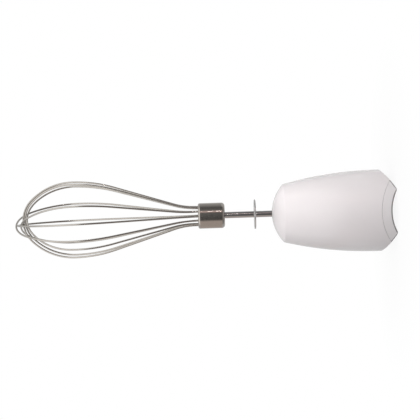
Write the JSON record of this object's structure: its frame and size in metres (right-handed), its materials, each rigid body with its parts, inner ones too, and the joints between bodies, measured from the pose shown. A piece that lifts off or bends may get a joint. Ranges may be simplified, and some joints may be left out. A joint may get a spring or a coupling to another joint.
{
  "type": "immersion blender whisk attachment",
  "caption": "Wire balloon whisk on a steel shaft that plugs into a white domed gearbox housing with an open mouth for a motor handle and a planetary reduction inside.",
  "frame": {"origin": "centre of the mouth, at the height of the rim's lowest points, where the attachment stands", "axes": "+Z along the axis from the mouth to the wire tips; +X across the two release dips of the mouth; -Y is the front that the picture shows"},
  "size_m": [0.058, 0.058, 0.2688],
  "materials": {
    "shell_white": "glossy white moulded plastic",
    "sleeve_white": "glossy white moulded plastic",
    "case_grey": "plain grey glass-filled plastic",
    "zinc_steel": "zinc plated steel",
    "bronze": "oiled sintered bronze",
    "coupler_plastic": "dark tough plastic",
    "gear_steel": "machined steel",
    "gear_plastic": "natural acetal plastic",
    "seal_rubber": "black rubber",
    "shaft_steel": "drawn stainless steel bar",
    "disc_steel": "stamped stainless steel",
    "ferrule_steel": "polished stainless steel",
    "core_plastic": "pale grey plastic",
    "wire_steel": "polished stainless steel wire"
  },
  "bodies": {
    "housing": {"housing_shell": "shell_white", "coupling_sleeve": "sleeve_white", "gear_case": "case_grey", "gear_case_cover": "case_grey", "case_screws": "zinc_steel", "input_bush": "bronze", "output_bush_lower": "bronze", "output_bush_upper": "bronze", "nose_seal": "seal_rubber"},
    "input": {"drive_coupler": "coupler_plastic", "sun_gear": "gear_steel", "input_washer": "zinc_steel"},
    "carrier": {"planet_carrier": "gear_plastic", "planet_pin_1": "gear_steel", "planet_pin_2": "gear_steel", "planet_pin_3": "gear_steel", "planet_keeper": "zinc_steel", "thrust_washer": "zinc_steel", "grip_ring": "seal_rubber"},
    "planet_1": {"planet_gear_1": "gear_plastic"},
    "planet_2": {"planet_gear_2": "gear_plastic"},
    "planet_3": {"planet_gear_3": "gear_plastic"},
    "whisk": {"whisk_shaft": "shaft_steel", "drip_disc": "disc_steel", "ferrule": "ferrule_steel", "ferrule_core": "core_plastic", "wire_loop_1": "wire_steel", "wire_loop_2": "wire_steel", "wire_loop_3": "wire_steel", "wire_loop_4": "wire_steel", "wire_loop_5": "wire_steel", "wire_loop_6": "wire_steel"}
  },
  "joints": [
    {"name": "carrier_spin", "type": "hinge", "parent": "housing", "child": "carrier", "pos_m": [0, 0, 0.0489], "axis": [0, 0, 1], "continuous": true},
    {"name": "input_spin", "type": "hinge", "parent": "housing", "child": "input", "pos_m": [0, 0, 0.0376], "axis": [0, 0, 1], "continuous": true},
    {"name": "planet_1_spin", "type": "hinge", "parent": "carrier", "child": "planet_1", "pos_m": [0.012, 0, 0.0424], "axis": [0, 0, 1], "continuous": true},
    {"name": "planet_2_spin", "type": "hinge", "parent": "carrier", "child": "planet_2", "pos_m": [-0.006, 0.01039, 0.0424], "axis": [0, 0, 1], "continuous": true},
    {"name": "planet_3_spin", "type": "hinge", "parent": "carrier", "child": "planet_3", "pos_m": [-0.006, -0.01039, 0.0424], "axis": [0, 0, 1], "continuous": true},
    {"name": "whisk_pull", "type": "slide", "parent": "carrier", "child": "whisk", "axis": [0, 0, 1], "range_m": [0, 0.035]}
  ],
  "couplings": [
    {"joint": "input_spin", "follows": "carrier_spin", "ratio": 5},
    {"joint": "planet_1_spin", "follows": "carrier_spin", "ratio": -2.6667},
    {"joint": "planet_2_spin", "follows": "carrier_spin", "ratio": -2.6667},
    {"joint": "planet_3_spin", "follows": "carrier_spin", "ratio": -2.6667}
  ]
}
